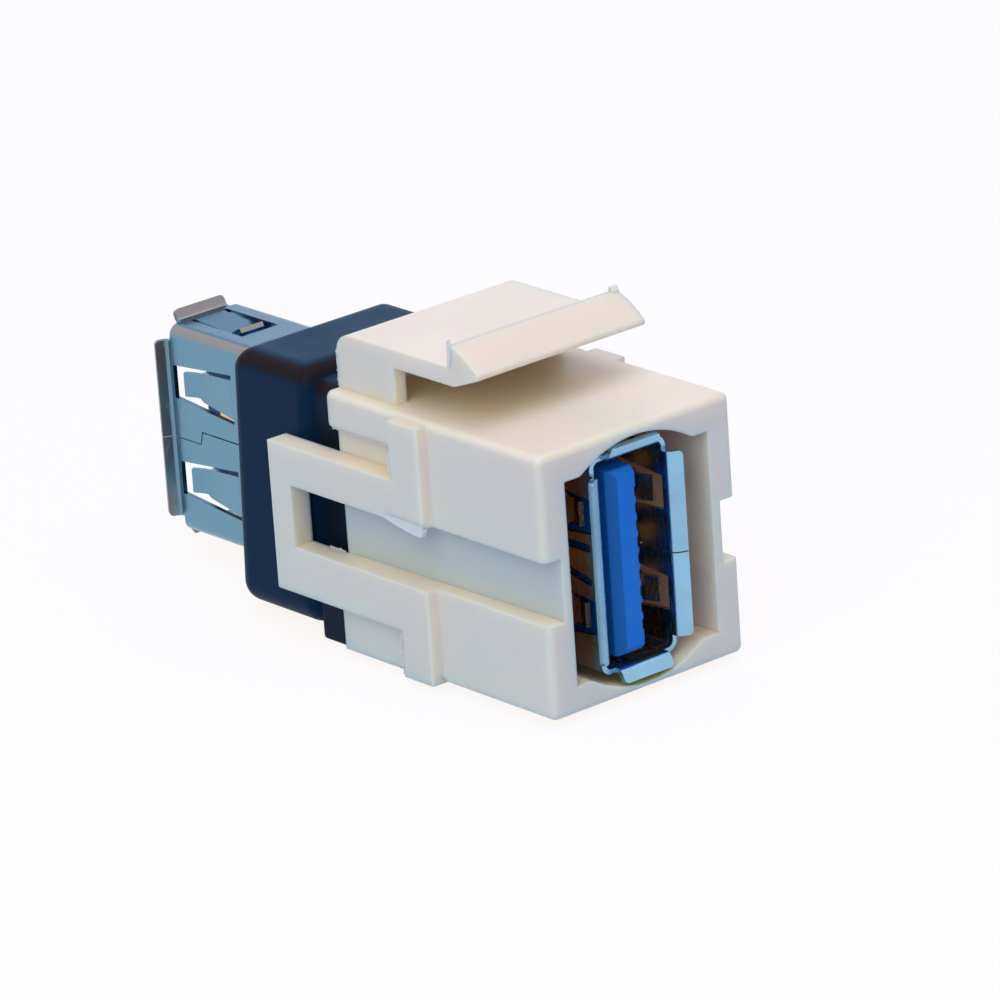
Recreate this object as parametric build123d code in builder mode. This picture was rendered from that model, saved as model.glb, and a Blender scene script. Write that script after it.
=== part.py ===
from build123d import *
from math import cos, pi, radians, sin
import os

# Keystone housing that carries a two-ended usb socket coupler.
# x runs across the ports, y from the wall face (minus) to the rear port (plus), z up to the latch.
# The origin is under the middle of the whole part, level with its lowest face.

# overall
coupler_length = 39.8       # mouth to mouth
face_recess = 0.15          # wall face behind the front lips
foot_drop = 0.5             # foot of the insert below the housing
body_width = 14.5
body_height = 15.8
body_round = 0.45
socket_rise = 7.8           # port centre above the housing's bottom

# housing, lengths measured back from the wall face
body_depth = 10.1
rib_start = 9.7
rib_width = 2.6
rib_out = 0.75
rib_foot = 0.2
rib_round = 0.15
sleeve_end = 18.4
loop_end = 23.55
loop_bar = 2.0
loop_low = 2.85
loop_top = 12.0
loop_wall = 1.4
channel_low = 5.75
channel_high = 9.55
channel_front_depth = 1.25
channel_rear_depth = 0.7
shelf_thick = 2.25
opening_width = 10.84
opening_height = 12.26
bore_radius = 7.45
neck_width = 10.84
neck_top = 15.1
fit_gap = 0.06

# latch, heights above the housing's bottom
latch_width = 12.6
latch_top = 19.15
arm_thick = 1.1
root_front = 13.3
root_cheek = 0.85
root_rear_wall = 1.7
latch_round = 1.2
hook_back = 8.3
hook_rise = 1.35
hook_front = 5.8
latch_tip_round = 0.22

# insert
block_front = 21.5
block_depth = 7.9
block_width = 13.0
block_bottom = 0.1
block_top = 15.9
block_draft = 1.8
block_round = 1.3
foot_width = 12.7
neck_round = 1.2

# one usb socket, depths measured in from its mouth
shell_width = 5.72
shell_height = 13.1
shell_sheet = 0.3
shell_round = 0.7
shell_length = 13.2
lip_long = 11.16
lip_short = 3.74
lip_spread_x = 7.06
lip_spread_z = 14.34
lip_angle = 65
lip_bend = 0.4
lip_depth = 0.95
lip_recess = 0.05
lip_corner = 0.3
tongue_thick = 1.84
tongue_width = 11.1
tongue_back_gap = 0.7
tongue_recess = 0.4
base_start = 9.8
tongue_nose = 0.5
tongue_corner = 0.35

# spring tabs and seam of the shell
tab_window_start = 1.05
tab_window_end = 6.6
tab_pitch = 6.1
tab_window_narrow = 2.05
tab_window_wide = 3.1
tab_tip = 1.5
tab_slit = 0.3
tab_tip_depth = 2.0
tab_shoulder = 3.1
tab_press = 0.3
end_tab_root = 2.3
end_tab_tip = 1.7
end_tab_start = 1.25
end_tab_length = 4.1
end_tab_lift = 0.2
end_window_length = 4.9
seam_slit = 0.08
seam_low = 0.5
seam_high = 0.3
seam_step = 3.2
slot_start = 1.3
slot_long = 2.2
slot_wide = 0.5
slot_high = 1.12
slot_low = 0.72
slot_tilt = 12

# contacts and board
pad_pitch = 2.0
pad_width = 0.9
pad_start = 1.6
pad_length = 2.7
tongue_dip = 0.09
tongue_dip_width = 0.6
contact_sheet = 0.2
contact_proud = 0.03
spring_width = 1.0
spring_inner = 1.0
spring_outer = 3.5
spring_tip = 5.0
spring_crest = 5.7
spring_rise = 0.45
spring_foot = 7.4
groove_width = 1.2
groove_depth = 0.5
tail_width = 0.4
tail_reach = 2.2
board_thick = 1.2
board_width = 10.0
board_length = 11.2
cavity_width = 2.8

# placed levels
mouth = coupler_length / 2
face = face_recess - mouth
floor = foot_drop
centre = foot_drop + socket_rise
half_body = body_width / 2
loop_outer = half_body + rib_out
loop_inner = loop_outer - loop_wall
rib_end = rib_start + rib_width
body_top = floor + body_height
latch_z = floor + latch_top
arm_under = latch_z - arm_thick
socket_end = shell_length - mouth
inner_width = shell_width - 2 * shell_sheet
inner_height = shell_height - 2 * shell_sheet
tongue_back = tongue_back_gap - inner_width / 2
tongue_face = tongue_back + tongue_thick
wall_mid_x = (shell_width - shell_sheet) / 2
wall_mid_z = (shell_height - shell_sheet) / 2
board_face = board_thick / 2
pad_mid = tongue_face + contact_proud - contact_sheet / 2
tail_mid = -board_face - contact_sheet / 2
tail_end = socket_end + tail_reach

os.makedirs("parts", exist_ok=True)

# keystone housing: one moulding with the latch, the ribs and the side loops
with BuildPart() as keystone_housing:
    # front body
    with BuildSketch(Plane.XZ.offset(-face)):
        with Locations((0, floor + body_height / 2)):
            Rectangle(body_width, body_height)
    extrude(amount=-rib_end)
    fillet(keystone_housing.edges().filter_by(Axis.Z).group_by(Axis.Y)[0], body_round)
    fillet(keystone_housing.edges().filter_by(Axis.Y), body_round)
    # side ribs, a little lower than the top face
    with BuildSketch(Plane.XY.offset(floor)):
        with Locations((0, face + rib_start + rib_width / 2)):
            RectangleRounded(body_width + 2 * rib_out, rib_width, rib_round)
    extrude(amount=body_height - 0.2)
    # soft foot where the ribs' fronts meet the sides
    with BuildSketch(Plane.XY.offset(floor + body_round)):
        with BuildLine():
            Polyline(
                (half_body, face + rib_start - rib_foot),
                (half_body, face + rib_start),
                (half_body + rib_foot, face + rib_start),
            )
            ThreePointArc(
                (half_body + rib_foot, face + rib_start),
                (half_body + rib_foot * (1 - cos(pi / 4)), face + rib_start - rib_foot * (1 - sin(pi / 4))),
                (half_body, face + rib_start - rib_foot),
            )
        make_face()
    rib_feet = extrude(amount=body_height - 2 * body_round)
    mirror(rib_feet, about=Plane.YZ)
    # shelf over the sleeve
    with BuildSketch(Plane.XZ.offset(-face - rib_end + 0.5)):
        with Locations((0, body_top - shelf_thick / 2)):
            RectangleRounded(body_width, shelf_thick, 0.4)
    extrude(amount=rib_end - sleeve_end - 0.5)
    # sleeve walls, set in above the loop and flush below it
    with BuildSketch(Plane.XZ.offset(-face - rib_end)):
        with Locations((0, body_top - shelf_thick)):
            Rectangle(2 * loop_inner, body_height - shelf_thick, align=(Align.CENTER, Align.MAX))
        with Locations((0, floor)):
            Rectangle(body_width, loop_low + 0.2, align=(Align.CENTER, Align.MIN))
    extrude(amount=rib_end - sleeve_end)
    # side loops
    with BuildSketch(Plane.YZ.offset(loop_inner)):
        with Locations((face + rib_end - 0.5, floor + loop_low)):
            Rectangle(loop_end - rib_end + 0.5, loop_top - loop_low, align=(Align.MIN, Align.MIN))
    loop_plate = extrude(amount=loop_wall)
    mirror(loop_plate, about=Plane.YZ)
    outer_edges = keystone_housing.edges().group_by(Axis.Y)[-1]
    fillet(outer_edges, 0.3)
    # latch, drawn from the side
    with BuildSketch(Plane.YZ):
        with BuildLine():
            Polyline(
                (face + root_front, body_top - 0.4),
                (face + sleeve_end, body_top - 0.4),
                (face + sleeve_end, latch_z - latch_round),
            )
            RadiusArc(
                (face + sleeve_end, latch_z - latch_round),
                (face + sleeve_end - latch_round, latch_z),
                -latch_round,
            )
            Polyline(
                (face + sleeve_end - latch_round, latch_z),
                (face + hook_back, latch_z),
                (face + hook_back - 0.1, latch_z + hook_rise),
            )
            ThreePointArc(
                (face + hook_back - 0.1, latch_z + hook_rise),
                (face + hook_front + 0.9, latch_z + 0.62),
                (face + hook_front, latch_z - 0.05),
            )
            Polyline(
                (face + hook_front, latch_z - 0.05),
                (face + hook_front + 0.1, arm_under + 0.78),
                (face + hook_back - 0.3, arm_under),
                (face + root_front, arm_under),
                (face + root_front, body_top - 0.4),
            )
        make_face()
    extrude(amount=latch_width / 2, both=True)
    latch_nose = keystone_housing.edges().filter_by(Axis.X).filter_by(
        lambda e: e.center().Y < face + hook_front + 0.2 and e.center().Z > arm_under + 0.2
    )
    fillet(latch_nose, latch_tip_round)
    # hollow between the cheeks of the latch root
    with BuildSketch(Plane.XY.offset(body_top)):
        with Locations((0, face + root_front)):
            Rectangle(
                latch_width - 2 * root_cheek,
                sleeve_end - root_front - root_rear_wall,
                align=(Align.CENTER, Align.MIN),
            )
    extrude(amount=arm_under - body_top, mode=Mode.SUBTRACT)
    # side channels, opening out to the loop windows
    with BuildSketch(Plane.XY.offset(floor + channel_low)):
        with BuildLine():
            Polyline(
                (half_body - channel_front_depth, face - 1),
                (half_body - channel_rear_depth, face + sleeve_end),
                (half_body - channel_rear_depth, face + loop_end - loop_bar),
                (loop_outer + 1, face + loop_end - loop_bar),
                (loop_outer + 1, face - 1),
                close=True,
            )
        make_face()
    channel = extrude(amount=channel_high - channel_low, mode=Mode.SUBTRACT)
    mirror(channel, about=Plane.YZ, mode=Mode.SUBTRACT)
    # port opening: a rectangle with a round relief above and below
    with BuildSketch(Plane.XZ.offset(-face)):
        with Locations((0, centre)):
            Circle(bore_radius)
            Rectangle(opening_width, body_height, mode=Mode.INTERSECT)
            Rectangle(opening_width, opening_height)
    extrude(amount=-body_depth, mode=Mode.SUBTRACT)
    relief = keystone_housing.edges().filter_by(Axis.Y).filter_by(
        lambda e: abs(abs(e.center().Z - centre) - opening_height / 2) < 0.01
        and 3.5 < abs(e.center().X) < opening_width / 2 - 0.2
    )
    fillet(relief, 0.6)
    # chamber for the insert, open underneath
    with BuildSketch(Plane.XZ.offset(-face - body_depth)):
        with Locations((0, floor + neck_top + fit_gap)):
            Rectangle(neck_width + 2 * fit_gap, body_height + 1, align=(Align.CENTER, Align.MAX))
    extrude(amount=body_depth - sleeve_end - 1, mode=Mode.SUBTRACT)

keystone_housing.part.label = "keystone_housing"
export_step(keystone_housing.part, "parts/keystone_housing.step")

# overmould: neck in the sleeve, foot below it and the wide block behind
with BuildPart() as coupler_overmould:
    with BuildSketch(Plane.XY.offset(floor + block_bottom)):
        with Locations((0, face + block_front + block_depth / 2)):
            RectangleRounded(block_width, block_depth, block_round)
    extrude(amount=block_top - block_bottom, taper=block_draft)
    fillet(coupler_overmould.faces().filter_by(Axis.Z).edges(), block_round)
    with BuildSketch(Plane.XZ.offset(-face - body_depth)) as neck:
        with Locations((0, floor + neck_top)):
            Rectangle(neck_width, neck_top - block_bottom, align=(Align.CENTER, Align.MAX))
        fillet(neck.vertices().group_by(Axis.Y)[-1], neck_round)
    extrude(amount=body_depth - block_front - 1)
    with BuildSketch(Plane.XZ.offset(-face - body_depth)):
        Rectangle(neck_width, floor + block_bottom, align=(Align.CENTER, Align.MIN))
    extrude(amount=body_depth - block_front)
    with BuildSketch(Plane.XZ.offset(-face - rib_end - fit_gap)) as foot:
        Rectangle(foot_width, foot_drop, align=(Align.CENTER, Align.MIN))
        fillet(foot.vertices().group_by(Axis.Y)[0], 0.35)
    extrude(amount=rib_end + fit_gap - block_front)
    with BuildSketch(Plane.XZ.offset(-face - sleeve_end - fit_gap)) as heel:
        Rectangle(foot_width, foot_drop + 2 * neck_round, align=(Align.CENTER, Align.MIN))
        fillet(heel.vertices().group_by(Axis.Y)[0], 0.35)
    extrude(amount=sleeve_end + fit_gap - block_front)
    # seats of the two sockets
    with BuildSketch(Plane.XZ.offset(-face - body_depth)):
        with Locations((0, centre)):
            RectangleRounded(shell_width, shell_height, shell_round)
    extrude(amount=face + body_depth - socket_end, mode=Mode.SUBTRACT)
    with BuildSketch(Plane.XZ.offset(socket_end)):
        with Locations((0, centre)):
            RectangleRounded(shell_width, shell_height, shell_round)
    extrude(amount=-mouth, mode=Mode.SUBTRACT)
    # chamber round the board
    with BuildSketch(Plane.XZ):
        with Locations((0, centre)):
            Rectangle(cavity_width, board_width)
    extrude(amount=socket_end, both=True, mode=Mode.SUBTRACT)

coupler_overmould.part.label = "coupler_overmould"
export_step(coupler_overmould.part, "parts/coupler_overmould.step")

# front shell: folded sheet with flared lips, spring tabs and a stepped seam
with BuildPart() as front_shell:
    with BuildSketch(Plane.XZ.offset(mouth - lip_depth)):
        with Locations((0, centre)):
            RectangleRounded(shell_width, shell_height, shell_round)
            RectangleRounded(inner_width, inner_height, shell_round - shell_sheet, mode=Mode.SUBTRACT)
    extrude(amount=lip_depth - shell_length)
    # lips of the two wide sides
    bend_out = lip_bend * (1 - cos(radians(lip_angle)))
    bend_fore = lip_bend * sin(radians(lip_angle))
    lip_dx = lip_spread_x / 2 - wall_mid_x - bend_out - shell_sheet * cos(radians(lip_angle)) / 2
    lip_run_x = lip_dx / sin(radians(lip_angle))
    lip_dz = lip_spread_z / 2 - wall_mid_z - bend_out - shell_sheet * cos(radians(lip_angle)) / 2
    lip_run_z = lip_dz / sin(radians(lip_angle))
    lip_fore = lip_recess + lip_run_x * cos(radians(lip_angle)) + shell_sheet / 2
    with BuildSketch(Plane.XY.offset(centre)):
        with BuildLine():
            l1 = Line(
                (wall_mid_x, lip_depth + 0.1 - mouth),
                (wall_mid_x, lip_fore + bend_fore - mouth),
            )
            l2 = JernArc(l1 @ 1, l1 % 1, lip_bend, lip_angle)
            PolarLine(l2 @ 1, lip_run_x, direction=l2 % 1)
        trace(line_width=shell_sheet)
    lip_right = extrude(amount=lip_long / 2, both=True, mode=Mode.PRIVATE)
    side_corners = lip_right.edges().filter_by(lambda e: abs(e.length - shell_sheet) < 0.001)
    side_corners = side_corners.sort_by(Axis.X)[-2:]
    lip_right = lip_right.fillet(lip_corner, side_corners)
    add(lip_right)
    mirror(lip_right, about=Plane.YZ)
    # lips of the two narrow sides
    with BuildSketch(Plane.YZ):
        with BuildLine():
            m1 = Line(
                (lip_depth + 0.1 - mouth, centre + wall_mid_z),
                (lip_fore + bend_fore - mouth, centre + wall_mid_z),
            )
            m2 = JernArc(m1 @ 1, m1 % 1, lip_bend, -lip_angle)
            PolarLine(m2 @ 1, lip_run_z, direction=m2 % 1)
        trace(line_width=shell_sheet)
    lip_top = extrude(amount=lip_short / 2, both=True, mode=Mode.PRIVATE)
    end_corners = lip_top.edges().filter_by(lambda e: abs(e.length - shell_sheet) < 0.001)
    end_corners = end_corners.sort_by(Axis.Z)[-2:]
    lip_top = lip_top.fillet(lip_corner, end_corners)
    add(lip_top)
    mirror(lip_top, about=Plane.XY.offset(centre))
    # windows of the side tabs, wider towards the tab roots
    with BuildSketch(Plane.YZ):
        for side in (-1, 1):
            with Locations((tab_window_start - mouth, centre + side * tab_pitch / 2)):
                Polygon(
                    (0, -tab_window_narrow / 2),
                    (0, tab_window_narrow / 2),
                    (tab_window_end - tab_window_start, tab_window_wide / 2),
                    (tab_window_end - tab_window_start, -tab_window_wide / 2),
                    align=None,
                )
    extrude(amount=shell_width, both=True, mode=Mode.SUBTRACT)
    # windows of the end tabs
    with BuildSketch(Plane.XY.offset(centre)):
        with Locations((0, end_tab_start - mouth)):
            Rectangle(end_tab_root + 0.5, end_window_length, align=(Align.CENTER, Align.MIN))
    extrude(amount=shell_height, both=True, mode=Mode.SUBTRACT)
    # side tabs, rooted at the back and pressed inwards
    with BuildSketch(Plane.XY.offset(centre)):
        with BuildLine():
            Polyline(
                (wall_mid_x, tab_window_end + 0.3 - mouth),
                (wall_mid_x, tab_window_end - 0.2 - mouth),
                (wall_mid_x - tab_press, tab_tip_depth + 1.3 - mouth),
                (wall_mid_x - tab_press, tab_tip_depth + 0.8 - mouth),
                (wall_mid_x + 0.05, tab_tip_depth - mouth),
            )
        trace(line_width=shell_sheet)
    side_sheet = extrude(amount=shell_height / 2, both=True, mode=Mode.PRIVATE)
    with BuildSketch(Plane.YZ):
        for side in (-1, 1):
            with Locations((-mouth, centre + side * tab_pitch / 2)):
                Polygon(
                    (tab_tip_depth - 0.3, -tab_tip / 2),
                    (tab_tip_depth - 0.3, tab_tip / 2),
                    (tab_shoulder, tab_tip / 2),
                    (tab_shoulder + 0.3, tab_window_narrow / 2 + 0.2 - tab_slit),
                    (tab_window_end, tab_window_wide / 2 - tab_slit),
                    (tab_window_end + 0.6, tab_window_wide / 2 - tab_slit),
                    (tab_window_end + 0.6, tab_slit - tab_window_wide / 2),
                    (tab_window_end, tab_slit - tab_window_wide / 2),
                    (tab_shoulder + 0.3, tab_slit - 0.2 - tab_window_narrow / 2),
                    (tab_shoulder, -tab_tip / 2),
                    align=None,
                )
    side_plan = extrude(amount=shell_width, mode=Mode.PRIVATE)
    side_tabs = side_sheet & side_plan
    add(side_tabs)
    mirror(side_tabs, about=Plane.YZ)
    # end tabs, rooted at the mouth with their tips inwards
    with BuildSketch(Plane.YZ):
        with BuildLine():
            Polyline(
                (end_tab_start - 0.2 - mouth, centre + wall_mid_z),
                (end_tab_start + 0.1 - mouth, centre + wall_mid_z),
                (end_tab_start + end_tab_length - 0.9 - mouth, centre + wall_mid_z - tab_press),
                (end_tab_start + end_tab_length - mouth, centre + wall_mid_z + end_tab_lift),
            )
        trace(line_width=shell_sheet)
    end_sheet = extrude(amount=end_tab_root, both=True, mode=Mode.PRIVATE)
    with BuildSketch(Plane.XY.offset(centre)):
        with BuildLine():
            Polyline(
                (-end_tab_root / 2, end_tab_start - 0.4 - mouth),
                (end_tab_root / 2, end_tab_start - 0.4 - mouth),
                (end_tab_tip / 2, end_tab_start + end_tab_length + 0.4 - mouth),
                (-end_tab_tip / 2, end_tab_start + end_tab_length + 0.4 - mouth),
                close=True,
            )
        make_face()
    end_plan = extrude(amount=shell_height, mode=Mode.PRIVATE)
    end_tab = end_sheet & end_plan
    add(end_tab)
    mirror(end_tab, about=Plane.XY.offset(centre))
    # stepped seam along one wide side
    with BuildSketch(Plane.YZ):
        with BuildLine():
            Polyline(
                (-1 - mouth, centre - seam_low),
                (seam_step - mouth, centre - seam_low),
                (seam_step + 0.2 - mouth, centre + seam_high),
                (socket_end + 1, centre + seam_high),
            )
        trace(line_width=seam_slit)
    extrude(amount=shell_width, mode=Mode.SUBTRACT)
    # pair of slots on the other wide side
    with BuildSketch(Plane.YZ):
        with Locations((slot_start + slot_long / 2 - mouth, centre + slot_high)):
            SlotOverall(slot_long, slot_wide)
        with Locations((slot_start + slot_long / 2 - mouth, centre - slot_low)):
            SlotOverall(slot_long, slot_wide, rotation=slot_tilt)
    extrude(amount=-shell_width, mode=Mode.SUBTRACT)

front_shell.part.label = "front_shell"
export_step(front_shell.part, "parts/front_shell.step")

# flat contact near the tongue's tip, with its tail buried in the tongue
with BuildPart() as flat_contact:
    with BuildSketch(Plane.XY.offset(centre)):
        with BuildLine():
            Polyline(
                (pad_mid, pad_start + pad_length - 0.5 - mouth),
                (pad_mid, pad_start + pad_length - mouth),
                (tail_mid, pad_start + pad_length - mouth),
                (tail_mid, tail_end),
            )
        trace(line_width=contact_sheet)
    extrude(amount=tail_width / 2, both=True)
    with BuildSketch(Plane.YZ.offset(pad_mid - contact_sheet / 2)):
        with Locations((pad_start - mouth, centre)):
            Rectangle(pad_length, pad_width, align=(Align.MIN, Align.CENTER))
    extrude(amount=contact_sheet)

# sprung contact behind it, arched out of a groove
with BuildPart() as sprung_contact:
    with BuildSketch(Plane.XY.offset(centre)):
        with BuildLine():
            Polyline(
                (tongue_face - groove_depth + 0.15, spring_tip - mouth),
                (tongue_face + spring_rise - contact_sheet / 2, spring_crest - mouth),
                (tongue_face - groove_depth + 0.15, spring_foot - mouth),
            )
        trace(line_width=contact_sheet)
    extrude(amount=spring_width / 2, both=True)
    with BuildSketch(Plane.XY.offset(centre)):
        with BuildLine():
            Polyline(
                (tongue_face - groove_depth + 0.15, spring_foot - 0.1 - mouth),
                (tail_mid, spring_foot - 0.1 - mouth),
                (tail_mid, tail_end),
            )
        trace(line_width=contact_sheet)
    extrude(amount=tail_width / 2, both=True)

# front tongue: base that plugs the shell and the blade with its contact grooves
with BuildPart() as front_tongue:
    with BuildSketch(Plane.XZ.offset(mouth - base_start)):
        with Locations((0, centre)):
            RectangleRounded(inner_width, inner_height, shell_round - shell_sheet)
    extrude(amount=base_start - shell_length)
    with BuildSketch(Plane.XZ.offset(mouth - tongue_recess)):
        with Locations((tongue_back, centre)):
            Rectangle(tongue_thick, tongue_width, align=(Align.MIN, Align.CENTER))
    extrude(amount=tongue_recess - base_start)
    nose = front_tongue.edges().group_by(Axis.Y)[0]
    chamfer(nose.filter_by(Axis.Z).sort_by(Axis.X)[0], tongue_nose)
    chamfer(front_tongue.edges().group_by(Axis.Y)[0].filter_by(Axis.X), tongue_corner)
    # grooves under the sprung contacts
    with BuildSketch(Plane.YZ.offset(tongue_face)):
        for rise in (-spring_outer, -spring_inner, spring_inner, spring_outer):
            with Locations((spring_tip - 0.2 - mouth, centre + rise)):
                Rectangle(
                    spring_foot + 0.4 - spring_tip,
                    groove_width,
                    align=(Align.MIN, Align.CENTER),
                )
    extrude(amount=-groove_depth, mode=Mode.SUBTRACT)
    # shallow dips of the front edge, one before each row of contacts
    with BuildSketch(Plane.XZ.offset(mouth)):
        with Locations((tongue_face, centre)):
            with GridLocations(1, pad_pitch / 2, 1, 9):
                Rectangle(2 * tongue_dip, tongue_dip_width)
    extrude(amount=-pad_start, mode=Mode.SUBTRACT)
    # beds of the contacts
    with Locations(*[(0, 0, row * pad_pitch) for row in range(-2, 3)]):
        add(flat_contact.part, mode=Mode.SUBTRACT)
    with Locations(*[(0, 0, rise) for rise in (-spring_outer, -spring_inner, spring_inner, spring_outer)]):
        add(sprung_contact.part, mode=Mode.SUBTRACT)

front_tongue.part.label = "front_tongue"
export_step(front_tongue.part, "parts/front_tongue.step")

# rear socket: the front one turned half round
with BuildPart() as rear_shell:
    add(front_shell.part, rotation=(0, 0, 180))

rear_shell.part.label = "rear_shell"
export_step(rear_shell.part, "parts/rear_shell.step")

with BuildPart() as rear_tongue:
    add(front_tongue.part, rotation=(0, 0, 180))

rear_tongue.part.label = "rear_tongue"
export_step(rear_tongue.part, "parts/rear_tongue.step")

# nine contacts a socket, by their height from the port centre
contact_rows = {
    "ssrx_minus": (flat_contact, 2 * pad_pitch),
    "ssrx_plus": (flat_contact, pad_pitch),
    "drain": (flat_contact, 0),
    "sstx_minus": (flat_contact, -pad_pitch),
    "sstx_plus": (flat_contact, -2 * pad_pitch),
    "ground": (sprung_contact, spring_outer),
    "d_plus": (sprung_contact, spring_inner),
    "d_minus": (sprung_contact, -spring_inner),
    "vbus": (sprung_contact, -spring_outer),
}
for contact_name, (shape, rise) in contact_rows.items():
    for socket, turn in (("front", 0), ("rear", 180)):
        with BuildPart() as contact:
            with Locations((0, 0, rise)):
                add(shape.part, rotation=(0, 0, turn))
        contact.part.label = f"{socket}_{contact_name}_contact"
        export_step(contact.part, f"parts/{socket}_{contact_name}_contact.step")

# board that joins the two rows of tails
with BuildPart() as coupler_board:
    with BuildSketch(Plane.XZ):
        with Locations((0, centre)):
            Rectangle(board_thick, board_width)
    extrude(amount=board_length / 2, both=True)

coupler_board.part.label = "coupler_board"
export_step(coupler_board.part, "parts/coupler_board.step")
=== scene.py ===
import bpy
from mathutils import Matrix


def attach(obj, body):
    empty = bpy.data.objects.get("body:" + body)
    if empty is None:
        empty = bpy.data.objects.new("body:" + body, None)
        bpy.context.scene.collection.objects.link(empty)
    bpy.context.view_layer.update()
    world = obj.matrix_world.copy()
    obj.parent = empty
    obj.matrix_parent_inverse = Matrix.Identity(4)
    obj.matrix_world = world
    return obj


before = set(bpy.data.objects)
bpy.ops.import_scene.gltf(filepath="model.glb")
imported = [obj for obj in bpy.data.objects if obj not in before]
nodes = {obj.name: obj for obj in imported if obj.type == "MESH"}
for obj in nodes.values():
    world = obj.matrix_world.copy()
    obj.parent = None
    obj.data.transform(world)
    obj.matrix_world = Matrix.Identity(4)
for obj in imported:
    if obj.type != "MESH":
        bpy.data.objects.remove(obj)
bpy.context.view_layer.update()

import math

import bmesh
import bpy
import mathutils

mm = 0.001
reliefDepth = 0.0001  # metres, where bump is 1
bevelSamples = 4


# small helpers for node trees

def addNode(tree, kind, place, **values):
    made = tree.nodes.new(kind)
    made.location = place
    for key, value in values.items():
        setattr(made, key, value)
    return made


def addGroup(tree, group, place, **values):
    made = addNode(tree, "ShaderNodeGroup", place, node_tree=group)
    for key, value in values.items():
        made.inputs[key.replace("_", " ")].default_value = value
    return made


def newMaterial(name):
    mat = bpy.data.materials.new(name)
    mat.use_nodes = True
    tree = mat.node_tree
    tree.nodes.clear()
    out = addNode(tree, "ShaderNodeOutputMaterial", (600, 0))
    surface = addNode(tree, "ShaderNodeBsdfPrincipled", (300, 0))
    tree.links.new(surface.outputs["BSDF"], out.inputs["Surface"])
    return mat, tree, surface


def newGroup(name, inputs, outputs):
    group = bpy.data.node_groups.new(name, "ShaderNodeTree")
    for label, value in inputs.items():
        made = group.interface.new_socket(label, in_out="INPUT", socket_type="NodeSocketFloat")
        made.default_value = value
    for label in outputs:
        group.interface.new_socket(label, in_out="OUTPUT", socket_type="NodeSocketFloat")
    return group


def mathNode(tree, operation, a, b, place):
    made = addNode(tree, "ShaderNodeMath", place, operation=operation)
    for slot, value in ((0, a), (1, b)):
        if isinstance(value, (int, float)):
            made.inputs[slot].default_value = value
        else:
            tree.links.new(value, made.inputs[slot])
    return made.outputs[0]


# a Mix node takes its two colours in sockets 6 and 7 and gives one in socket 2
def mixColour(tree, factor, a, b, place):
    made = addNode(tree, "ShaderNodeMix", place, data_type="RGBA")
    for slot, value in ((0, factor), (6, a), (7, b)):
        if isinstance(value, tuple):
            made.inputs[slot].default_value = (*value, 1.0)
        else:
            tree.links.new(value, made.inputs[slot])
    return made.outputs[2]


# 0 at the first limit and top at the second
def rampNode(tree, value, limits, place, top=1.0, smooth=False):
    made = addNode(tree, "ShaderNodeMapRange", place)
    if smooth:
        made.interpolation_type = "SMOOTHSTEP"
    made.inputs["From Min"].default_value = limits[0]
    made.inputs["From Max"].default_value = limits[1]
    made.inputs["To Max"].default_value = top
    tree.links.new(value, made.inputs["Value"])
    return made.outputs["Result"]


def noiseNode(tree, vector, size, detail, place):
    made = addNode(tree, "ShaderNodeTexNoise", place)
    made.inputs["Detail"].default_value = detail
    tree.links.new(vector, made.inputs["Vector"])
    tree.links.new(size, made.inputs["Scale"])
    return made.outputs["Fac"]


def splitAxes(tree, kind, output, place):
    source = addNode(tree, kind, place)
    made = addNode(tree, "ShaderNodeSeparateXYZ", (place[0] + 200, place[1]))
    tree.links.new(source.outputs[output], made.inputs[0])
    return made.outputs


# x, y and z of the place on the object
def placeAxes(tree, place):
    return splitAxes(tree, "ShaderNodeTexCoord", "Object", place)


# x, y and z of the way a face looks
def normalAxes(tree, place):
    return splitAxes(tree, "ShaderNodeNewGeometry", "Normal", place)


# a base roughness that a mask raises
def setRoughness(tree, surface, mask, spread, base):
    rough = mathNode(tree, "MULTIPLY", mask, spread, (-350, -50))
    rough = mathNode(tree, "ADD", rough, base, (-150, -50))
    tree.links.new(rough, surface.inputs["Roughness"])


# fine relief, and edges that are rounded in shading only where edgeRound is given
def setRelief(tree, surface, height, s):
    bump = addNode(tree, "ShaderNodeBump", (0, -250))
    bump.inputs["Strength"].default_value = s["bump"]
    bump.inputs["Distance"].default_value = reliefDepth
    tree.links.new(height, bump.inputs["Height"])
    if "edgeRound" in s:
        soften = addNode(tree, "ShaderNodeBevel", (-250, -300), samples=bevelSamples)
        soften.inputs["Radius"].default_value = s["edgeRound"]
        tree.links.new(soften.outputs["Normal"], bump.inputs["Normal"])
    tree.links.new(bump.outputs["Normal"], surface.inputs["Normal"])


# fine moulded grain: a height, and a mask of cloudy patches
def makeMouldGrain():
    grainDetail = 3
    cloudDetail = 4
    cloudLimits = (0.35, 0.65)
    group = newGroup("mouldGrain", {"Grain Size": 4000, "Cloud Size": 250}, ("Height", "Cloud"))
    start = addNode(group, "NodeGroupInput", (-600, 0))
    end = addNode(group, "NodeGroupOutput", (400, 0))
    coords = addNode(group, "ShaderNodeTexCoord", (-600, -200)).outputs["Object"]
    grain = noiseNode(group, coords, start.outputs["Grain Size"], grainDetail, (-300, 150))
    cloud = noiseNode(group, coords, start.outputs["Cloud Size"], cloudDetail, (-300, -150))
    group.links.new(grain, end.inputs["Height"])
    group.links.new(rampNode(group, cloud, cloudLimits, (100, -150)), end.inputs["Cloud"])
    return group


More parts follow.
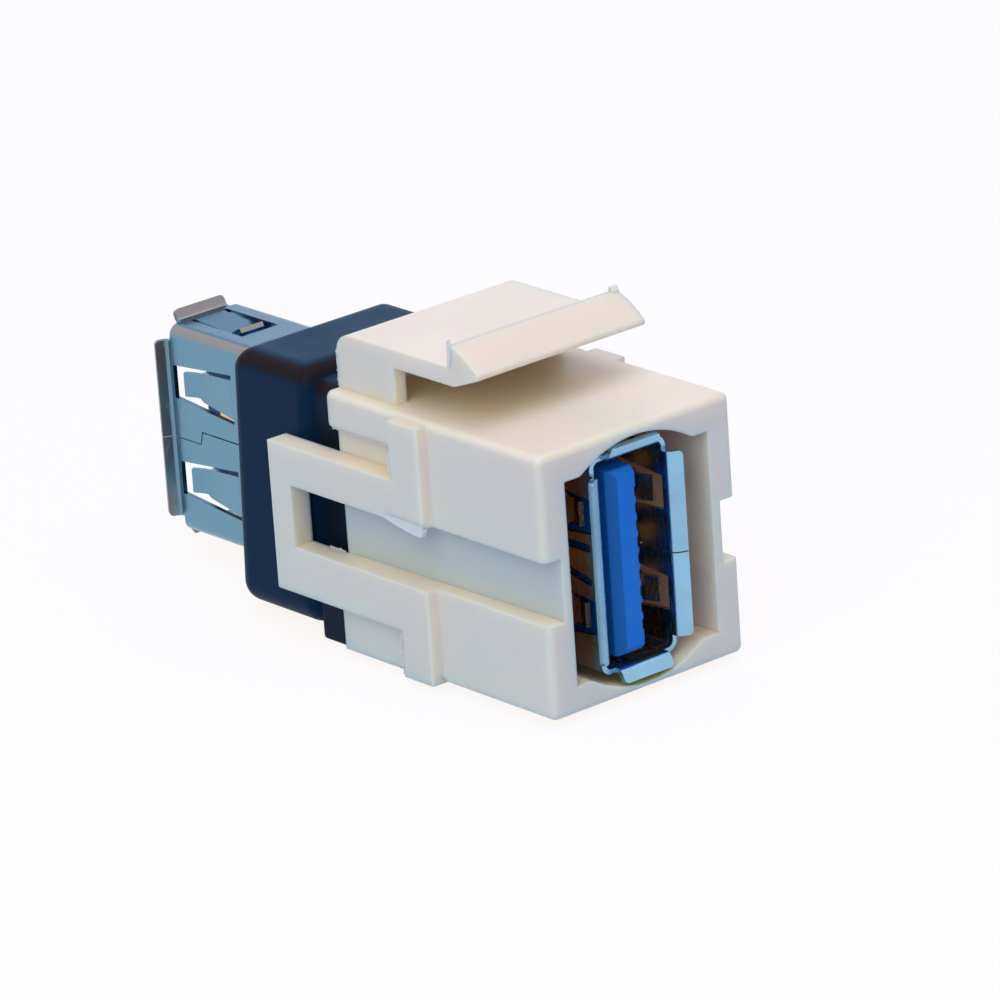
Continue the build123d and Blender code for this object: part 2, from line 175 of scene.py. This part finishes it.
# thin scratches in two directions, for steel and gold
def makeScuffs():
    turns = ((0.3, 0.2, 1.0), (1.1, 0.4, -0.5))
    squeeze = (1.0, 14.0, 1.0)
    streakDetail = 2
    streakLimits = (0.62, 0.74)
    group = newGroup("scuffs", {"Size": 900, "Amount": 0.5}, ("Mask",))
    start = addNode(group, "NodeGroupInput", (-900, 0))
    end = addNode(group, "NodeGroupOutput", (600, 0))
    coords = addNode(group, "ShaderNodeTexCoord", (-900, -200))
    lines = []
    for index, turn in enumerate(turns):
        row = -250 * index
        turned = addNode(group, "ShaderNodeMapping", (-700, row))
        turned.inputs["Rotation"].default_value = turn
        turned.inputs["Scale"].default_value = squeeze
        group.links.new(coords.outputs["Object"], turned.inputs["Vector"])
        streak = noiseNode(group, turned.outputs["Vector"], start.outputs["Size"], streakDetail, (-500, row))
        lines.append(rampNode(group, streak, streakLimits, (-300, row)))
    both = mathNode(group, "MAXIMUM", lines[0], lines[1], (0, 0))
    scaled = mathNode(group, "MULTIPLY", both, start.outputs["Amount"], (250, 0))
    group.links.new(scaled, end.inputs["Mask"])
    return group


# two masks by upward slope: rounded top edges, and flat tops
def makeEdgeBand():
    sideLimits = (0.1, 0.55)
    flatLimits = (1.0, 0.88)
    group = newGroup("edgeBand", {}, ("Band", "Top"))
    end = addNode(group, "NodeGroupOutput", (400, 0))
    upward = normalAxes(group, (-700, 0))["Z"]
    offSide = rampNode(group, upward, sideLimits, (-300, 0), smooth=True)
    offFlat = rampNode(group, upward, flatLimits, (-300, 200), smooth=True)
    band = mathNode(group, "MULTIPLY", offSide, offFlat, (100, 0))
    top = mathNode(group, "SUBTRACT", 1.0, offFlat, (100, -200))
    group.links.new(band, end.inputs["Band"])
    group.links.new(top, end.inputs["Top"])
    return group


# mask of faces that look sideways between two distances from the middle, below a height
def makeSunkSides():
    sidewaysFrom = 0.7
    group = newGroup("sunkSides", {"Inner": 0.0058, "Outer": 0.0066, "Height": 0.01}, ("Mask",))
    start = addNode(group, "NodeGroupInput", (-900, 0))
    end = addNode(group, "NodeGroupOutput", (700, 0))
    place = placeAxes(group, (-900, -200))
    normal = normalAxes(group, (-900, 250))
    across = mathNode(group, "ABSOLUTE", place["X"], 0, (-500, -100))
    sideways = mathNode(group, "ABSOLUTE", normal["X"], 0, (-500, 250))
    tests = [
        ("GREATER_THAN", across, start.outputs["Inner"]),
        ("LESS_THAN", across, start.outputs["Outer"]),
        ("LESS_THAN", place["Z"], start.outputs["Height"]),
        ("GREATER_THAN", sideways, sidewaysFrom),
    ]
    mask = mathNode(group, *tests[0], (-300, 0))
    for index, test in enumerate(tests[1:], 1):
        passed = mathNode(group, *test, (-300, -150 * index))
        mask = mathNode(group, "MULTIPLY", mask, passed, (-100 + 180 * index, 0))
    group.links.new(mask, end.inputs["Mask"])
    return group


# a few dark specks, one in some of the cells
def makeSpecks():
    dotLimits = (0.045, 0.02)
    group = newGroup("specks", {"Size": 330, "Share": 0.3}, ("Mask",))
    start = addNode(group, "NodeGroupInput", (-700, 0))
    end = addNode(group, "NodeGroupOutput", (400, 0))
    coords = addNode(group, "ShaderNodeTexCoord", (-700, -200))
    cells = addNode(group, "ShaderNodeTexVoronoi", (-500, 0))
    group.links.new(coords.outputs["Object"], cells.inputs["Vector"])
    group.links.new(start.outputs["Size"], cells.inputs["Scale"])
    dot = rampNode(group, cells.outputs["Distance"], dotLimits, (-250, 100))
    chosen = mathNode(group, "LESS_THAN", cells.outputs["Color"], start.outputs["Share"], (-250, -150))
    mask = mathNode(group, "MULTIPLY", dot, chosen, (100, 0))
    group.links.new(mask, end.inputs["Mask"])
    return group


mouldGrain = makeMouldGrain()
scuffs = makeScuffs()
edgeBand = makeEdgeBand()
sunkSides = makeSunkSides()
specks = makeSpecks()
print("shared effects ready")


# cream housing; channel is painted shade on the low sunk sides, and shade is painted warm shade on flat tops
# under something
creamPlastic = {
    "colour": (0.87, 0.735, 0.56),
    "cloudColour": (0.86, 0.715, 0.54),
    "channelShadeColour": (0.64, 0.62, 0.51),
    "channelInner": 0.0058,
    "channelOuter": 0.00658,
    "channelHeight": 0.01,
    "shadeColour": (0.97, 0.715, 0.38),
    "shadeReach": 0.0035,
    "shadeLimits": (0.7, 0.15),
    "shadeSamples": 6,
    "speckColour": (0.42, 0.33, 0.24),
    "speckSize": 330.0,
    "speckShare": 0.3,
    "roughness": 0.42,
    "roughSpread": 0.08,
    "grainSize": 5200,
    "cloudSize": 210,
    "bump": 0.06,
    "edgeRound": 0.00022,
    "glow": 0.75,
    "glowReach": (1.0, 0.58, 0.28),
    "glowDepth": 0.0015,
    "ior": 1.5,
}


def makeCream(name, s):
    mat, tree, surface = newMaterial(name)
    grain = addGroup(tree, mouldGrain, (-600, 0), Grain_Size=s["grainSize"], Cloud_Size=s["cloudSize"])
    colour = mixColour(tree, grain.outputs["Cloud"], s["colour"], s["cloudColour"], (-300, 200))
    channel = addGroup(tree, sunkSides, (-300, 550), Inner=s["channelInner"], Outer=s["channelOuter"],
                       Height=s["channelHeight"])
    # painted shade: the low sunk sides are darker and bluer
    colour = mixColour(tree, channel.outputs["Mask"], colour, s["channelShadeColour"], (-100, 300))
    # painted warm shade: flat tops are warmer where something hangs over them
    band = addGroup(tree, edgeBand, (-900, 700))
    sky = addNode(tree, "ShaderNodeAmbientOcclusion", (-900, 500), samples=s["shadeSamples"])
    sky.inputs["Distance"].default_value = s["shadeReach"]
    hidden = rampNode(tree, sky.outputs["AO"], s["shadeLimits"], (-700, 500))
    covered = mathNode(tree, "MULTIPLY", hidden, band.outputs["Top"], (-500, 700))
    colour = mixColour(tree, covered, colour, s["shadeColour"], (50, 500))
    dots = addGroup(tree, specks, (-500, 400), Size=s["speckSize"], Share=s["speckShare"])
    colour = mixColour(tree, dots.outputs["Mask"], colour, s["speckColour"], (0, 300))
    tree.links.new(colour, surface.inputs["Base Color"])
    setRoughness(tree, surface, grain.outputs["Cloud"], s["roughSpread"], s["roughness"])
    setRelief(tree, surface, grain.outputs["Height"], s)
    surface.inputs["Subsurface Weight"].default_value = s["glow"]
    surface.inputs["Subsurface Radius"].default_value = s["glowReach"]
    surface.inputs["Subsurface Scale"].default_value = s["glowDepth"]
    surface.inputs["IOR"].default_value = s["ior"]
    return mat


# black-blue overmould; what lies in front of neckEnd is its neck
darkPlastic = {
    "colour": (0.0055, 0.020, 0.044),
    "cloudColour": (0.007, 0.024, 0.050),
    "topReflection": (0.001, 0.030, 0.064),
    "edgeShadeColour": (0.013, 0.010, 0.012),
    "neckEnd": 0.0019,
    "neckShare": 0.5,
    "shine": 0.18,
    "reflectionTint": (0.1, 0.55, 1.0),
    "edgeReflectionTint": (0.62, 0.45, 0.5),
    "ior": 1.3,
    "roughness": 0.42,
    "roughSpread": 0.15,
    "grainSize": 3600,
    "cloudSize": 180,
    "bump": 0.1,
    "edgeRound": 0.0002,
}


def makeDark(s):
    mat, tree, surface = newMaterial("darkPlastic")
    grain = addGroup(tree, mouldGrain, (-600, 0), Grain_Size=s["grainSize"], Cloud_Size=s["cloudSize"])
    colour = mixColour(tree, grain.outputs["Cloud"], s["colour"], s["cloudColour"], (-200, 200))
    # painted shade: the rounded top edges and the neck are darker than the flats, in the plastic's own
    # brownish tone
    band = addGroup(tree, edgeBand, (-700, 600))
    along = placeAxes(tree, (-1100, 400))["Y"]
    neck = mathNode(tree, "LESS_THAN", along, s["neckEnd"], (-700, 400))
    neck = mathNode(tree, "MULTIPLY", neck, s["neckShare"], (-500, 400))
    edge = mathNode(tree, "MAXIMUM", band.outputs["Band"], neck, (-300, 500))
    # painted reflection: the flat tops are bluer
    colour = mixColour(tree, band.outputs["Top"], colour, s["topReflection"], (-200, 350))
    colour = mixColour(tree, edge, colour, s["edgeShadeColour"], (-50, 350))
    tree.links.new(colour, surface.inputs["Base Color"])
    # painted reflection: the flats reflect blue and the edges and neck a warmer tint
    shine = mixColour(tree, edge, s["reflectionTint"], s["edgeReflectionTint"], (-50, 150))
    tree.links.new(shine, surface.inputs["Specular Tint"])
    setRoughness(tree, surface, grain.outputs["Cloud"], s["roughSpread"], s["roughness"])
    setRelief(tree, surface, grain.outputs["Height"], s)
    surface.inputs["Specular IOR Level"].default_value = s["shine"]
    surface.inputs["IOR"].default_value = s["ior"]
    return mat


# tinned steel of the two shells; its colours are painted reflections, one at the mouth and another further
# in, with cloudy patches at the mouth that are partly stains and partly painted reflection
sheetSteel = {
    "roughness": 0.24,
    "scuffRough": 0.22,
    "scuffSize": 700,
    "scuffAmount": 1.0,
    "grainSize": 2500,
    "cloudSize": 320,
    "bump": 0.015,
}
frontSteel = {
    **sheetSteel,
    "mouthReflection": (0.27, 0.53, 0.74),
    "mouthStainAndReflection": (0.25, 0.45, 0.62),
    "mouthDepth": 0.0186,
    "deepReflection": (0.40, 0.30, 0.23),
    "deepDepth": 0.0180,
}
rearSteel = {
    **sheetSteel,
    "mouthReflection": (0.12, 0.22, 0.28),
    "mouthStainAndReflection": (0.17, 0.15, 0.15),
    "mouthDepth": 0.0196,
    "deepReflection": (0.155, 0.31, 0.42),
    "deepDepth": 0.0190,
    "foldReflection": (0.33, 0.27, 0.26),
    "foldShare": 0.8,
    "topReflection": (0.036, 0.105, 0.16),
}


def makeSteel(name, s):
    mat, tree, surface = newMaterial(name)
    grain = addGroup(tree, mouldGrain, (-700, 100), Grain_Size=s["grainSize"], Cloud_Size=s["cloudSize"])
    scratch = addGroup(tree, scuffs, (-700, -200), Size=s["scuffSize"], Amount=s["scuffAmount"])
    # painted reflection at the mouth, with cloudy patches that are partly stains
    mouthReflectionTint = mixColour(tree, grain.outputs["Cloud"], s["mouthReflection"], s["mouthStainAndReflection"], (-300, 300))
    reach = mathNode(tree, "ABSOLUTE", placeAxes(tree, (-1100, 400))["Y"], 0, (-700, 400))
    mouth = rampNode(tree, reach, (s["deepDepth"], s["mouthDepth"]), (-500, 400), smooth=True)
    colour = mixColour(tree, mouth, s["deepReflection"], mouthReflectionTint, (-100, 300))
    # the shell that shows its outside has painted reflections on its folds and its flat top
    if "topReflection" in s:
        band = addGroup(tree, edgeBand, (-500, 700))
        fold = mathNode(tree, "MULTIPLY", band.outputs["Band"], s["foldShare"], (-300, 600))
        colour = mixColour(tree, fold, colour, s["foldReflection"], (50, 400))
        colour = mixColour(tree, band.outputs["Top"], colour, s["topReflection"], (50, 650))
    tree.links.new(colour, surface.inputs["Base Color"])
    setRoughness(tree, surface, scratch.outputs["Mask"], s["scuffRough"], s["roughness"])
    setRelief(tree, surface, grain.outputs["Height"], s)
    surface.inputs["Metallic"].default_value = 1.0
    return mat


# blue tongues; side is painted shade on faces that look towards -x
bluePlastic = {
    "colour": (0.002, 0.17, 0.55),
    "cloudColour": (0.002, 0.15, 0.50),
    "sideShadeColour": (0.003, 0.07, 0.20),
    "sideLimits": (-0.2, -0.7),
    "sideShadeShare": 0.6,
    "shine": 0.25,
    "roughness": 0.42,
    "roughSpread": 0.08,
    "grainSize": 5000,
    "cloudSize": 260,
    "bump": 0.05,
    "edgeRound": 0.00015,
}


def makeBlue(s):
    mat, tree, surface = newMaterial("bluePlastic")
    grain = addGroup(tree, mouldGrain, (-600, 0), Grain_Size=s["grainSize"], Cloud_Size=s["cloudSize"])
    colour = mixColour(tree, grain.outputs["Cloud"], s["colour"], s["cloudColour"], (-200, 200))
    across = normalAxes(tree, (-900, 400))["X"]
    side = rampNode(tree, across, s["sideLimits"], (-500, 400), top=s["sideShadeShare"])
    # painted shade on faces that look towards -x
    colour = mixColour(tree, side, colour, s["sideShadeColour"], (0, 300))
    tree.links.new(colour, surface.inputs["Base Color"])
    setRoughness(tree, surface, grain.outputs["Cloud"], s["roughSpread"], s["roughness"])
    setRelief(tree, surface, grain.outputs["Height"], s)
    surface.inputs["Specular IOR Level"].default_value = s["shine"]
    return mat


# contacts
goldContact = {
    "colour": (0.83, 0.58, 0.24),
    "wornColour": (0.72, 0.55, 0.33),
    "roughness": 0.25,
    "scuffRough": 0.2,
    "scuffSize": 1200.0,
    "scuffAmount": 0.8,
}


def makeGold(s):
    mat, tree, surface = newMaterial("goldContact")
    scratch = addGroup(tree, scuffs, (-600, 0), Size=s["scuffSize"], Amount=s["scuffAmount"])
    colour = mixColour(tree, scratch.outputs["Mask"], s["colour"], s["wornColour"], (-200, 200))
    tree.links.new(colour, surface.inputs["Base Color"])
    setRoughness(tree, surface, scratch.outputs["Mask"], s["scuffRough"], s["roughness"])
    surface.inputs["Metallic"].default_value = 1.0
    return mat


# circuit board between the two rows of tails
greenBoard = {
    "colour": (0.02, 0.12, 0.06),
    "weaveColour": (0.03, 0.15, 0.07),
    "weaveSize": 900.0,
    "roughness": 0.4,
}


def makeBoard(s):
    mat, tree, surface = newMaterial("greenBoard")
    grain = addGroup(tree, mouldGrain, (-600, 0), Cloud_Size=s["weaveSize"])
    colour = mixColour(tree, grain.outputs["Cloud"], s["colour"], s["weaveColour"], (-200, 200))
    tree.links.new(colour, surface.inputs["Base Color"])
    surface.inputs["Roughness"].default_value = s["roughness"]
    return mat


blue = makeBlue(bluePlastic)
gold = makeGold(goldContact)
finishes = {
    "keystone_housing": makeCream("creamPlastic", creamPlastic),
    "coupler_overmould": makeDark(darkPlastic),
    "front_shell": makeSteel("frontSteel", frontSteel),
    "rear_shell": makeSteel("rearSteel", rearSteel),
    "front_tongue": blue,
    "rear_tongue": blue,
    "coupler_board": makeBoard(greenBoard),
}
for name, node in nodes.items():
    node.data.materials.clear()
    node.data.materials.append(finishes.get(name, gold))
print("finishes on", len(nodes), "nodes")


# moulding flash on the cream housing: thin plates, drawn as (y, z) outlines in millimetres between two x
flashPlates = {
    "spike": {  # torn flake at one end of the latch ridge
        "xFrom": -6.18,
        "xTo": -6.36,
        "outline": [(-11.72, 20.55), (-11.62, 21.12), (-11.55, 21.34), (-11.5, 21.2), (-11.44, 21.3),
                    (-11.4, 20.9), (-11.38, 20.3), (-11.36, 19.62), (-11.5, 19.6), (-11.58, 19.95)],
    },
    "nub": {  # at the ridge's other end
        "xFrom": 5.88,
        "xTo": 6.36,
        "outline": [(-11.85, 20.55), (-11.74, 21.0), (-11.6, 21.18), (-11.42, 21.24), (-11.36, 21.0),
                    (-11.34, 20.5), (-11.4, 20.2)],
    },
    "skirt": {  # hangs under the upper rib on the -x side
        "xFrom": -7.66,
        "xTo": -8.015,
        "outline": [(-6.6, 10.3), (-6.75, 10.03), (-7.2, 9.94), (-7.7, 9.82), (-8.2, 9.74), (-8.8, 9.64),
                    (-9.3, 9.58), (-9.7, 9.55), (-9.96, 9.56), (-9.9, 9.66), (-10.04, 9.7), (-9.98, 9.8),
                    (-10.06, 9.88), (-10.02, 10.3)],
    },
}
# the housing's plastic where it is torn thin
flashPlastic = {
    **creamPlastic,
    "colour": (0.87, 0.76, 0.62),
    "cloudColour": (0.86, 0.74, 0.60),
    "edgeRound": 0.00003,
    "glow": 0.3,
}
flashCream = makeCream("flashCream", flashPlastic)


def addPlate(mesh, xFrom, xTo, outline):
    low = [mesh.verts.new((xFrom * mm, y * mm, z * mm)) for y, z in outline]
    high = [mesh.verts.new((xTo * mm, y * mm, z * mm)) for y, z in outline]
    mesh.faces.new(low)
    mesh.faces.new(high)
    for i in range(len(outline)):
        j = (i + 1) % len(outline)
        mesh.faces.new((low[i], low[j], high[j], high[i]))


def makeFlash(plates):
    mesh = bmesh.new()
    for plate in plates.values():
        addPlate(mesh, **plate)
    bmesh.ops.recalc_face_normals(mesh, faces=mesh.faces)
    data = bpy.data.meshes.new("mouldFlash")
    mesh.to_mesh(data)
    mesh.free()
    flash = bpy.data.objects.new("mouldFlash", data)
    bpy.context.scene.collection.objects.link(flash)
    data.materials.append(flashCream)
    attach(flash, "root")
    print("flash:", len(data.polygons), "faces")


makeFlash(flashPlates)

# torn burrs along parting edges: the ends of each line, the spacing and the size are in millimetres
burrRows = {
    "lines": [
        ((-7.98, -7.46, 13.1), (-7.98, -7.46, 14.0)),
        ((-7.99, -7.47, 0.7), (-7.99, -7.47, 3.1)),
        ((-7.9, -10.0, 9.7), (-7.9, -9.5, 9.58)),
        ((-6.63, 0.15, 6.28), (-6.63, -1.2, 6.28)),
        ((-7.07, -1.45, 14.08), (-7.07, -7.3, 14.08)),
        ((-6.29, -1.36, 16.5), (-6.29, -1.36, 18.5)),
    ],
    "spacing": 0.12,
    "size": 0.12,
    "mostSpin": (6.28, 6.28, 6.28),
    "leastStretch": (0.25, 0.25, 0.5),
    "mostStretch": (0.7, 0.7, 1.4),
    "seed": 7,
}


def growBurrs(s):
    group = bpy.data.node_groups.new("tornBurrs", "GeometryNodeTree")
    face = group.interface
    face.new_socket("Geometry", in_out="INPUT", socket_type="NodeSocketGeometry")
    face.new_socket("Spacing", in_out="INPUT", socket_type="NodeSocketFloat")
    face.new_socket("Size", in_out="INPUT", socket_type="NodeSocketFloat")
    face.new_socket("Seed", in_out="INPUT", socket_type="NodeSocketInt")
    face.new_socket("Finish", in_out="INPUT", socket_type="NodeSocketMaterial")
    face.new_socket("Geometry", in_out="OUTPUT", socket_type="NodeSocketGeometry")
    start = addNode(group, "NodeGroupInput", (-900, 0))
    end = addNode(group, "NodeGroupOutput", (900, 0))
    curve = addNode(group, "GeometryNodeMeshToCurve", (-700, 100))
    points = addNode(group, "GeometryNodeCurveToPoints", (-500, 100), mode="LENGTH")
    chip = addNode(group, "GeometryNodeMeshIcoSphere", (-300, -100))
    chip.inputs["Radius"].default_value = 1.0
    chip.inputs["Subdivisions"].default_value = 1
    spin = addNode(group, "FunctionNodeRandomValue", (-500, -200), data_type="FLOAT_VECTOR")
    spin.inputs[1].default_value = s["mostSpin"]
    stretch = addNode(group, "FunctionNodeRandomValue", (-500, -450), data_type="FLOAT_VECTOR")
    stretch.inputs[0].default_value = s["leastStretch"]
    stretch.inputs[1].default_value = s["mostStretch"]
    grow = addNode(group, "ShaderNodeVectorMath", (-300, -450), operation="SCALE")
    place = addNode(group, "GeometryNodeInstanceOnPoints", (-50, 100))
    real = addNode(group, "GeometryNodeRealizeInstances", (200, 100))
    paint = addNode(group, "GeometryNodeSetMaterial", (450, 100))
    link = group.links.new
    link(start.outputs["Geometry"], curve.inputs["Mesh"])
    link(curve.outputs["Curve"], points.inputs["Curve"])
    link(start.outputs["Spacing"], points.inputs["Length"])
    link(start.outputs["Seed"], spin.inputs["Seed"])
    link(start.outputs["Seed"], stretch.inputs["Seed"])
    link(points.outputs["Points"], place.inputs["Points"])
    link(chip.outputs["Mesh"], place.inputs["Instance"])
    link(spin.outputs[0], place.inputs["Rotation"])
    link(stretch.outputs[0], grow.inputs[0])
    link(start.outputs["Size"], grow.inputs["Scale"])
    link(grow.outputs[0], place.inputs["Scale"])
    link(place.outputs["Instances"], real.inputs["Geometry"])
    link(real.outputs["Geometry"], paint.inputs["Geometry"])
    link(start.outputs["Finish"], paint.inputs["Material"])
    link(paint.outputs["Geometry"], end.inputs["Geometry"])
    return group


def makeBurrs(s):
    verts = [tuple(v * mm for v in point) for line in s["lines"] for point in line]
    edges = [(2 * i, 2 * i + 1) for i in range(len(s["lines"]))]
    rail = bpy.data.meshes.new("burrRail")
    rail.from_pydata(verts, edges, [])
    carrier = bpy.data.objects.new("burrRail", rail)
    bpy.context.scene.collection.objects.link(carrier)
    group = growBurrs(s)
    grower = carrier.modifiers.new("tornBurrs", "NODES")
    grower.node_group = group
    names = {item.name: item.identifier for item in group.interface.items_tree if item.in_out == "INPUT"}
    grower[names["Spacing"]] = s["spacing"] * mm
    grower[names["Size"]] = s["size"] * mm
    grower[names["Seed"]] = s["seed"]
    grower[names["Finish"]] = flashCream
    bpy.context.view_layer.update()
    shaped = carrier.evaluated_get(bpy.context.evaluated_depsgraph_get())
    data = bpy.data.meshes.new_from_object(shaped)
    bpy.data.objects.remove(carrier)
    burrs = bpy.data.objects.new("tornBurrs", data)
    bpy.context.scene.collection.objects.link(burrs)
    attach(burrs, "root")
    print("burrs:", len(data.polygons), "faces")


makeBurrs(burrRows)

# floor, sky and lamps
studio = {
    "floorSize": 3.0,
    "floorColour": (0.46, 0.67, 0.98),
    "floorGlow": (1.09, 1.04, 0.99),
    "floorLift": 0.85,
    "skyColour": (0.68, 0.76, 0.98),
    "skyStrength": 0.45,
    "skySeen": (1.0, 1.0, 1.0),
    "lampTarget": (0.0, 0.0, 0.010),
}
lamps = {
    "keyLamp": {
        "place": (0.03, -0.06, 0.42),
        "size": (0.36, 0.36),
        "power": 0.79,
        "colour": (0.92, 0.81, 1.0),
    },
    "fillLamp": {
        "place": (-0.31, -0.18, 0.31),
        "size": (0.40, 0.40),
        "power": 1.25,
        "colour": (0.74, 0.895, 1.0),
    },
    "backLamp": {
        "place": (0.30, 0.40, 0.20),
        "size": (0.50, 0.30),
        "power": 0.35,
        "colour": (0.4, 0.62, 1.0),
    },
}


# 1 for rays that show the backdrop itself: straight, mirrored or through glass
def showingRays(tree):
    rays = addNode(tree, "ShaderNodeLightPath", (-400, 300)).outputs
    seen = mathNode(tree, "MAXIMUM", rays["Is Camera Ray"], rays["Is Glossy Ray"], (-200, 300))
    return mathNode(tree, "MAXIMUM", seen, rays["Is Transmission Ray"], (0, 300))


def mixShaders(tree, factor, first, second, out):
    mix = addNode(tree, "ShaderNodeMixShader", (400, 0))
    for slot, value in enumerate((factor, first.outputs[0], second.outputs[0])):
        tree.links.new(value, mix.inputs[slot])
    tree.links.new(mix.outputs[0], out.inputs["Surface"])


def makeFloor(s):
    half = s["floorSize"] / 2
    corners = [(-half, -half, 0), (half, -half, 0), (half, half, 0), (-half, half, 0)]
    mesh = bpy.data.meshes.new("studioFloor")
    mesh.from_pydata(corners, [], [(0, 1, 2, 3)])
    floor = bpy.data.objects.new("studioFloor", mesh)
    bpy.context.scene.collection.objects.link(floor)
    mat = bpy.data.materials.new("paleFloor")
    mat.use_nodes = True
    tree = mat.node_tree
    tree.nodes.clear()
    out = addNode(tree, "ShaderNodeOutputMaterial", (600, 0))
    matte = addNode(tree, "ShaderNodeBsdfDiffuse", (0, 100))
    matte.inputs["Color"].default_value = (*s["floorColour"], 1)
    white = addNode(tree, "ShaderNodeEmission", (0, -100))
    white.inputs["Color"].default_value = (*s["floorGlow"], 1)
    lift = mathNode(tree, "MULTIPLY", showingRays(tree), s["floorLift"], (200, 300))
    mixShaders(tree, lift, matte, white, out)
    floor.data.materials.append(mat)


def makeSky(s):
    world = bpy.data.worlds.new("studioSky")
    bpy.context.scene.world = world
    world.use_nodes = True
    tree = world.node_tree
    tree.nodes.clear()
    out = addNode(tree, "ShaderNodeOutputWorld", (600, 0))
    light = addNode(tree, "ShaderNodeBackground", (0, 100))
    light.inputs["Color"].default_value = (*s["skyColour"], 1)
    light.inputs["Strength"].default_value = s["skyStrength"]
    white = addNode(tree, "ShaderNodeBackground", (0, -100))
    white.inputs["Color"].default_value = (*s["skySeen"], 1)
    mixShaders(tree, showingRays(tree), light, white, out)


def addLamp(name, target, place, size, power, colour):
    lamp = bpy.data.lights.new(name, "AREA")
    lamp.shape = "RECTANGLE"
    lamp.size, lamp.size_y = size
    lamp.energy = power
    lamp.color = colour
    holder = bpy.data.objects.new(name, lamp)
    bpy.context.scene.collection.objects.link(holder)
    holder.location = place
    aim = mathutils.Vector(target) - mathutils.Vector(place)
    holder.rotation_euler = aim.to_track_quat("-Z", "Y").to_euler()


makeFloor(studio)
makeSky(studio)
for name, lamp in lamps.items():
    addLamp(name, studio["lampTarget"], **lamp)
print("studio ready")

photoCamera = {
    "place": (-0.253199, -0.314118, 0.152101),
    "turn": (70.16445, 3.77233, -40.90658),  # degrees
    "lens": 263.934,  # millimetres, as the sensor
    "sensor": 36,
    "nearest": 0.01,
    "furthest": 20,
}


def makeCamera(s):
    optics = bpy.data.cameras.new("photoCamera")
    optics.lens = s["lens"]
    optics.sensor_width = s["sensor"]
    optics.clip_start = s["nearest"]
    optics.clip_end = s["furthest"]
    holder = bpy.data.objects.new("photoCamera", optics)
    bpy.context.scene.collection.objects.link(holder)
    holder.location = s["place"]
    holder.rotation_euler = [math.radians(a) for a in s["turn"]]
    bpy.context.scene.camera = holder


makeCamera(photoCamera)
bpy.context.scene.view_settings.view_transform = "Standard"

bpy.context.view_layer.update()
